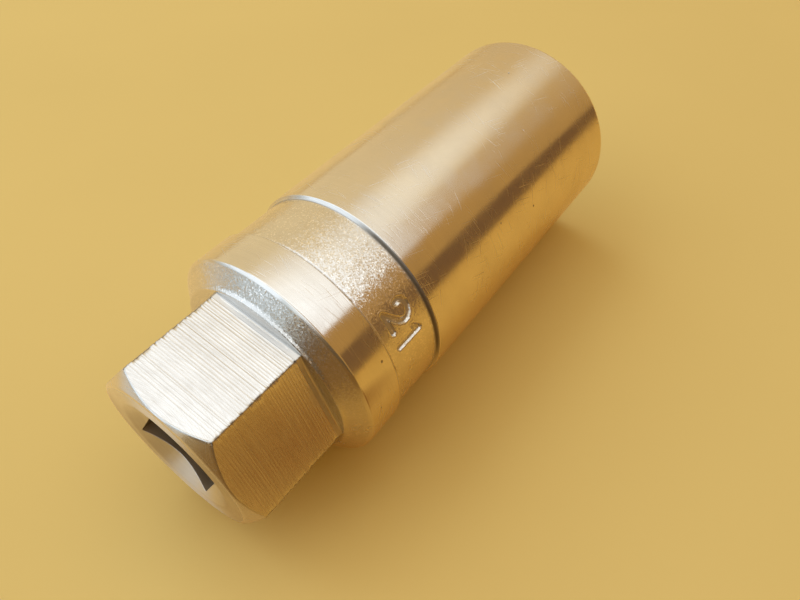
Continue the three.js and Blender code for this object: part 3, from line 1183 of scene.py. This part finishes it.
@dataclass
class GripInsert:
    """The moulded rubber sleeve: a funnel, a bore with a lip at each end, and a wider pocket behind.

    Lengths are mm. The seams are the two lines where the mould's halves met, and their turns are
    degrees. The funnel's edge is cut by a slope that starts so far outward and ends so far behind and
    inward.
    """

    rear: float = 20.75
    front: float = 42.75
    radius: float = 10.1
    bore: float = 5.3
    lip: float = 4.7
    rear_radius: float = 6.5
    rear_lip: float = 24.15
    front_lip: float = 38.55
    funnel_radius: float = 8.0
    funnel_edge: tuple[float, float, float] = (0.25, 0.35, 0.28)
    lip_length: float = 1.6
    lip_slope: float = 0.6
    edge: float = 0.6
    bevel_share: float = 0.3
    round_shares: Span = (0.4, 0.5)
    groove_depth: float = 0.4
    groove_round: float = 0.15
    groove_stations: tuple[float, ...] = (23.6, 26.2, 28.8, 31.4)
    groove_half_width: float = 0.45
    groove_floor_share: float = 0.45
    outside_depth: float = 0.7
    seam_height: float = 0.03
    seam_degrees: float = 0.55
    seam_turns: Span = (90.0, 270.0)
    beside_seam: tuple[float, ...] = (-1.2, -0.6, -0.3, 0.3, 0.6, 1.2)
    unevenness: float = 0.015
    uneven_cell: float = 2.5
    uneven_round_cells: int = 24
    uneven_seed: int = 8
    groove_dirt: float = 0.5
    bore_dirt: float = 0.1
    column_degrees: float = 3.0

    def columns(self) -> np.ndarray:
        """The turns of the columns, radians, closer beside the mould's two parting lines."""
        even = np.arange(0, 360, self.column_degrees)
        seams = np.array(self.seam_turns)[:, None] + np.array(self.beside_seam)
        return np.radians(np.unique(np.concatenate([even, seams.ravel()])))

    def profile(self) -> list[Corner]:
        """The closed profile, from the rear face round the outside and back through the bore.

        Returns:
            The corners in order.
        """
        rubber = Finish.TURNED
        bevel = self.edge * self.bevel_share
        soft, end = (self.edge * share for share in self.round_shares)
        corners = [
            Corner(self.rear, self.radius - self.edge, rubber, end, 0),
            Corner(self.rear + bevel, self.radius - bevel, rubber, soft, 0),
            Corner(self.rear + self.edge, self.radius, rubber, soft, 1),
        ]
        half = self.groove_half_width
        floor_half = half * self.groove_floor_share
        floor = self.radius - self.groove_depth
        for station in self.groove_stations:
            corners += [
                Corner(station - half, self.radius, rubber, self.groove_round, 0),
                Corner(station - floor_half, floor, rubber, self.groove_round, 0),
                Corner(station + floor_half, floor, rubber, self.groove_round, 0),
                Corner(station + half, self.radius, rubber, self.groove_round, 1),
            ]
        inner_rear = self.rear_lip + self.lip_length
        inner_front = self.front_lip - self.lip_length
        outward, behind, inward = self.funnel_edge
        corners += [
            Corner(self.front - self.edge, self.radius, rubber, soft, 0),
            Corner(self.front - bevel, self.radius - bevel, rubber, soft, 0),
            Corner(self.front, self.radius - self.edge, rubber, end, 2),
            Corner(self.front, self.funnel_radius + outward, rubber, 0.3, 0),
            Corner(self.front - behind, self.funnel_radius - inward, rubber, 0.3, 5),
            Corner(self.front_lip, self.lip, rubber, 0.5, 1),
            Corner(inner_front, self.lip, rubber, 0.4, 1),
            Corner(inner_front - self.lip_slope, self.bore, rubber, 0.3, 8),
            Corner(inner_rear + self.lip_slope, self.bore, rubber, 0.3, 1),
            Corner(inner_rear, self.lip, rubber, 0.4, 1),
            Corner(self.rear_lip, self.lip, rubber, 0.3, 1),
            Corner(self.rear_lip, self.rear_radius, rubber, 0.2, 3),
            Corner(self.rear, self.rear_radius, rubber, 0.3, 2),
        ]
        return corners

    def build(self, material: bpy.types.Material) -> bpy.types.Object:
        """Makes the insert.

        Args:
            material: Its rubber.

        Returns:
            The piece.
        """
        surface = carry_profile(self.profile(), self.columns())
        outside = surface.radius > self.radius - self.outside_depth
        from_seam = (np.degrees(surface.turn) % 180) - 90
        seam = np.exp(-((from_seam / self.seam_degrees) ** 2))
        sunk = np.where(outside, self.seam_height - self.seam_height * seam, 0)
        surface.radius = surface.radius - sunk
        cells = (self.uneven_cell, self.uneven_round_cells, self.uneven_seed)
        noise = lattice_noise(surface.station, surface.turn, *cells)
        surface.radius = surface.radius - np.where(outside, self.unevenness + self.unevenness * noise, 0)
        depth = np.clip((self.radius - surface.radius) / self.groove_depth, 0, 1)
        grime_and_shade = np.where(outside, depth * self.groove_dirt, self.bore_dirt)
        piece = write_mesh("grip_insert", surface, grime_and_shade, [material])
        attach(piece, "insert")
        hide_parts("rubber_insert")
        return piece


@dataclass(frozen=True)
class PhotoCamera:
    """The camera at the photograph's viewing angle, in metres and unit directions."""

    place: Point = (-0.0437973, -0.0371233, 0.0707305)
    right: Point = (0.596, -0.8024, -0.0306)
    up: Point = (0.6163, 0.4326, 0.6581)
    focal_pixels: float = 617.3
    image_width: float = 800.0
    sensor_width: float = 36.0
    near_clip: float = 0.002
    far_clip: float = 20.0

    def build(self) -> bpy.types.Object:
        """Makes the camera and makes it the scene's.

        Returns:
            The camera.
        """
        data = bpy.data.cameras.new("photo_camera")
        data.sensor_fit = "HORIZONTAL"
        data.sensor_width = self.sensor_width
        data.lens = self.focal_pixels / self.image_width * self.sensor_width
        data.clip_start = self.near_clip
        data.clip_end = self.far_clip
        right = Vector(self.right).normalized()
        back = right.cross(Vector(self.up)).normalized()
        up = back.cross(right)
        turn = Matrix((right, up, back)).transposed().to_4x4()
        camera = bpy.data.objects.new("photo_camera", data)
        camera.matrix_world = Matrix.Translation(self.place) @ turn
        bpy.context.scene.collection.objects.link(camera)
        bpy.context.scene.camera = camera
        return camera


@dataclass(frozen=True)
class SoftBox:
    """A flat soft light in the shape of a parallelogram, which fades across its width.

    The corner and the two sides are metres. From the full share of the width on, the colour fades
    to the edge colour. A box that isn't mirrored lights the scene but no reflection shows it.
    """

    name: str
    corner: Point
    width: Point
    length: Point
    colour: Colour
    edge_colour: Colour
    full_share: float
    mirrored: bool = True

    def points(self) -> np.ndarray:
        """The four corners, one row each, metres."""
        corner, width, length = np.array([self.corner, self.width, self.length])
        return np.array([corner, corner + width, corner + width + length, corner + length])

    def material(self) -> bpy.types.Material:
        """Makes the glowing cloth.

        Returns:
            The material.
        """
        material, recipe, glow = new_material(self.name, "ShaderNodeEmission")
        across = recipe.split(recipe.node("ShaderNodeTexCoord").outputs["UV"])[0]
        share = recipe.remap(across, self.full_share, 1.0)
        colour = recipe.tint(share, self.colour, self.edge_colour)
        recipe.feed(glow, {"Color": colour, "Strength": 1.0})
        return material


SOFT_BOXES = (
    SoftBox(
        "overhead_box",
        corner=(0.10, -0.60, 0.62),
        width=(0.42, 0.0, 0.0),
        length=(-0.28, 1.10, 0.0),
        colour=(1.53, 1.55, 1.55),
        edge_colour=(1.0, 0.84, 0.58),
        full_share=0.58,
    ),
    SoftBox(
        "window_box",
        corner=(-0.50, 0.135, 0.11),
        width=(0.32, 0.355, 0.0),
        length=(0.15, -0.14, 0.48),
        colour=(1.25, 1.36, 1.46),
        edge_colour=(1.05, 1.15, 1.24),
        full_share=0.80,
    ),
    SoftBox(
        "side_box",
        corner=(-0.31, 0.32, 0.78),
        width=(0.70, 0.0, 0.0),
        length=(0.0, 0.385, -0.32),
        colour=(1.15, 1.5, 1.98),
        edge_colour=(1.15, 1.5, 1.98),
        full_share=0.5,
        mirrored=False,
    ),
)


@dataclass(frozen=True)
class DarkCard:
    """A dark card that only reflections see. Its corners are metres."""

    name: str
    corners: tuple[Point, ...]
    colour: Colour


CARDS = (
    DarkCard(
        "low_card",
        (
            (0.09, -0.40, 0.0),
            (0.52, -0.22, 0.0),
            (0.52, -0.22, 0.05),
            (0.42, -0.262, 0.055),
            (0.33, -0.30, 0.13),
            (0.09, -0.40, 0.17),
        ),
        (0.24, 0.13, 0.055),
    ),
    DarkCard(
        "camera_card",
        ((-0.33, 0.03, 0.0), (-0.12, -0.40, 0.0), (-0.12, -0.38, 0.12), (-0.33, -0.01, 0.135)),
        (0.195, 0.15, 0.098),
    ),
)


@dataclass(frozen=True)
class Studio:
    """Plain pale floor, soft light, and the warm room and dark cards that the chrome reflects.

    Places and the floor's spans are metres. The ways are directions, and their spans are how closely
    a direction agrees with them, up to 1.
    """

    floor_half: float = 3.0
    floor_colour: Colour = (0.80, 0.58, 0.20)
    floor_shares: Span = (1.01, 0.985)
    cloud_scale: float = 14.0
    cloud_detail: float = 3.0
    cloud_span: Span = (0.35, 0.65)
    floor_roughness: float = 0.6
    # Colours that only reflections see: a painted reflection of the floor, lighter on the +Y side, darker
    # and more orange on the -Y side where shade falls, painted shade in front of the drive end and beside
    # the socket, and a pale patch of painted light.
    mirrored_shaded_side: Colour = (0.86, 0.49, 0.105)
    mirrored_lit_side: Colour = (0.95, 0.67, 0.28)
    lit_side_span: Span = (-0.02, 0.02)
    mirrored_front_shade: Colour = (0.28, 0.14, 0.035)
    front_shade_span: Span = (-0.06, -0.02)
    mirrored_pale_light: Colour = (0.82, 0.79, 0.73)
    pale_light_place: Point = (-0.14, 0.14, 0.0)
    pale_light_reach: Span = (0.05, 0.11)
    mirrored_shade: Colour = (0.33, 0.13, 0.025)
    shade_place: Point = (-0.016, -0.033, 0.0)
    shade_stretch: Point = (1.0, 0.6, 1.0)
    shade_reach: Span = (0.009, 0.019)
    backdrop: Colour = (0.90, 0.87, 0.80)
    fade_range: Span = (0.17, 0.5)
    soft_light: Colour = (0.44, 0.285, 0.098)
    card_roughness: float = 0.9
    room_tan: Colour = (0.91, 0.70, 0.38)
    room_far: Colour = (0.70, 0.44, 0.16)
    room_far_span: Span = (0.45, 0.85)
    room_brown: Colour = (0.50, 0.26, 0.065)
    room_brown_span: Span = (-0.60, 0.05)
    room_bright: Colour = (1.07, 0.90, 0.63)
    bright_way: Point = (0.60, 0.05, 0.80)
    bright_span: Span = (0.93, 0.998)
    room_cool: Colour = (0.55, 0.64, 0.67)
    cool_way: Point = (-0.80, 0.58, 0.15)
    cool_span: Span = (0.72, 0.93)
    room_window: Colour = (1.25, 1.31, 1.33)
    window_way: Point = (-0.72, 0.10, 0.68)
    window_span: Span = (0.77, 0.90)

    def build(self) -> None:
        """Makes the floor, the sky, the cards and the soft boxes."""
        self._floor()
        self._sky()
        self._cards()
        self._boxes()

    def _sheet(
        self,
        name: str,
        points: tuple[Point, ...],
        material: bpy.types.Material,
    ) -> bpy.types.Object:
        """Makes one flat face that is part of the studio.

        Args:
            name: Its name.
            points: Its corners, metres.
            material: Its material.

        Returns:
            The face's object.
        """
        mesh = bpy.data.meshes.new(name)
        mesh.from_pydata(points, [], [tuple(range(len(points)))])
        mesh.materials.append(material)
        sheet = bpy.data.objects.new(name, mesh)
        bpy.context.scene.collection.objects.link(sheet)
        return sheet

    def _hide(self, sheet: bpy.types.Object) -> None:
        """Keeps a sheet of the studio out of the picture and lets light through it."""
        sheet.visible_camera = False
        sheet.visible_shadow = False

    def _floor(self) -> None:
        """Makes the floor: faint unevenness in its colour, and a painted reflection that only the chrome
        sees.

        Far from the socket, the camera sees the floor run out into the backdrop.
        """
        material, recipe, shader = new_material("studio_floor")
        place = recipe.node("ShaderNodeTexCoord").outputs["Object"]
        light, dark = (tuple(part * share for part in self.floor_colour) for share in self.floor_shares)
        cloud = recipe.remap(recipe.noise(place, self.cloud_scale, self.cloud_detail), *self.cloud_span)
        plain = recipe.tint(cloud, light, dark)
        x, y, _ = recipe.split(place)
        # The painted reflection: painted shade in front of the drive end and on the -Y side, painted light
        # in one pale patch, and a painted shadow beside the socket.
        front = recipe.remap(x, *self.front_shade_span, 1.0, 0.0)
        painted_reflection = recipe.tint(front, self.mirrored_shaded_side, self.mirrored_front_shade)
        painted_reflection = recipe.tint(recipe.remap(y, *self.lit_side_span), painted_reflection, self.mirrored_lit_side)
        apart = recipe.vector("DISTANCE", place, self.pale_light_place)
        painted_reflection = recipe.tint(recipe.remap(apart, *self.pale_light_reach, 1.0, 0.0), painted_reflection, self.mirrored_pale_light)
        stretched = recipe.vector("MULTIPLY", place, self.shade_stretch)
        apart = recipe.vector("DISTANCE", stretched, self.shade_place)
        painted_reflection = recipe.tint(recipe.remap(apart, *self.shade_reach, 1.0, 0.0), painted_reflection, self.mirrored_shade)
        path = recipe.node("ShaderNodeLightPath").outputs
        colour = recipe.tint(path["Is Glossy Ray"], plain, painted_reflection)
        away = recipe.remap(recipe.vector("LENGTH", place), *self.fade_range)
        faded = recipe.maths("MULTIPLY", path["Is Camera Ray"], away)
        dress = {
            "Base Color": recipe.tint(faded, colour, BLACK),
            "Emission Color": recipe.tint(faded, BLACK, self.backdrop),
            "Emission Strength": 1.0,
            "Roughness": self.floor_roughness,
            "Specular IOR Level": 0.0,
        }
        recipe.feed(shader, dress)
        half = self.floor_half
        corners = ((-half, -half, 0.0), (half, -half, 0.0), (half, half, 0.0), (-half, half, 0.0))
        self._sheet("studio_floor", corners, material)

    def _sky(self) -> None:
        """Makes the plain light from all round, and the warm room that reflections see in its place."""
        world = bpy.data.worlds.new("studio_sky")
        world.use_nodes = True
        world.node_tree.nodes.clear()
        recipe = Recipe(world.node_tree)
        way = recipe.node("ShaderNodeTexCoord").outputs["Generated"]
        x, y, _ = recipe.split(way)
        far = recipe.remap(x, *self.room_far_span)
        room = recipe.tint(far, self.room_tan, self.room_far)
        room = recipe.tint(recipe.remap(y, *self.room_brown_span, 1.0, 0.0), room, self.room_brown)
        for centre, colour, span in (
            (self.bright_way, self.room_bright, self.bright_span),
            (self.window_way, self.room_window, self.window_span),
            (self.cool_way, self.room_cool, self.cool_span),
        ):
            near = recipe.vector("DOT_PRODUCT", way, centre)
            room = recipe.tint(recipe.remap(near, *span), room, colour)
        path = recipe.node("ShaderNodeLightPath").outputs
        colour = recipe.tint(path["Is Camera Ray"], self.soft_light, self.backdrop)
        colour = recipe.tint(path["Is Glossy Ray"], colour, room)
        background = recipe.node("ShaderNodeBackground", {"Color": colour, "Strength": 1.0})
        recipe.node("ShaderNodeOutputWorld", {"Surface": background.outputs[0]})
        bpy.context.scene.world = world

    def _cards(self) -> None:
        """Makes the dark cards."""
        for given in CARDS:
            material, recipe, shader = new_material(given.name)
            recipe.feed(shader, {"Base Color": (*given.colour, 1.0), "Roughness": self.card_roughness})
            card = self._sheet(given.name, given.corners, material)
            self._hide(card)
            card.visible_diffuse = False

    def _boxes(self) -> None:
        """Makes the soft boxes."""
        for box in SOFT_BOXES:
            sheet = self._sheet(box.name, box.points().tolist(), box.material())
            places = sheet.data.uv_layers.new(name="places")
            places.data.foreach_set("uv", [0.0, 0.0, 1.0, 0.0, 1.0, 1.0, 0.0, 1.0])
            self._hide(sheet)
            sheet.visible_glossy = box.mirrored


STEEL_FINISHES = (
    PlatedSteel(
        "turned_chrome",
        colour=(0.77, 0.76, 0.74),
        dark_colour=(0.38, 0.36, 0.33),
        roughness=0.17,
        smeared_roughness=0.25,
        groove_spread=0.75,
        mark_pitch=0.11,
        mark_length=7.0,
        mark_depth=1.3,
        mark_tint=0.1,
        scratch_depth=5.0,
        pit_share=0.22,
        wear=0.26,
    ),
    PlatedSteel(
        "milled_chrome",
        colour=(0.76, 0.75, 0.73),
        dark_colour=(0.15, 0.13, 0.10),
        roughness=0.22,
        smeared_roughness=0.28,
        mark_pitch=0.08,
        mark_length=2.2,
        mark_depth=1.6,
        mark_tint=0.17,
        scratch_depth=2.0,
    ),
    PlatedSteel(
        "forged_chrome",
        colour=(0.72, 0.71, 0.69),
        dark_colour=(0.28, 0.26, 0.22),
        roughness=0.22,
        smeared_roughness=0.28,
        mark_depth=0.0,
        scratch_depth=0.0,
        grain_size=0.10,
        grain_depth=2.5,
        grain_lean=0.12,
    ),
    PlatedSteel(
        "bored_chrome",
        colour=(0.66, 0.64, 0.60),
        dark_colour=(0.20, 0.18, 0.15),
        roughness=0.42,
        smeared_roughness=0.55,
        mark_pitch=0.12,
        mark_length=3.0,
        mark_depth=2.0,
        mark_tint=0.12,
        scratch_depth=3.0,
    ),
    PlatedSteel(
        "faced_chrome",
        colour=(0.76, 0.75, 0.73),
        dark_colour=(0.22, 0.19, 0.15),
        roughness=0.34,
        smeared_roughness=0.40,
        groove_spread=0.9,
        mark_length=9.0,
        mark_depth=1.2,
        mark_tint=0.08,
        scratch_depth=2.0,
        pit_share=0.15,
    ),
    # Painted shade: the square recess is coloured dark brown for the shade inside it.
    PlatedSteel(
        "broached_chrome_painted_shade",
        colour=(0.40, 0.35, 0.28),
        dark_colour=(0.075, 0.055, 0.038),
        roughness=0.30,
        smeared_roughness=0.42,
        mark_pitch=0.12,
        mark_length=3.0,
        mark_depth=2.0,
        mark_tint=0.12,
        scratch_depth=3.0,
    ),
)


def main() -> None:
    """Builds the camera, the studio and the socket's pieces."""
    logging.basicConfig(level=logging.INFO, format="%(name)s: %(message)s")
    view = bpy.context.scene.view_settings
    view.view_transform = "Standard"
    PhotoCamera().build()
    Studio().build()
    effects = SharedEffects()
    steel = [finish.build(effects) for finish in STEEL_FINISHES]
    rubber = MouldedRubber().build(effects)
    for piece in (SocketBody().build(steel), GripInsert().build(rubber)):
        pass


if __name__ == "__main__":
    main()
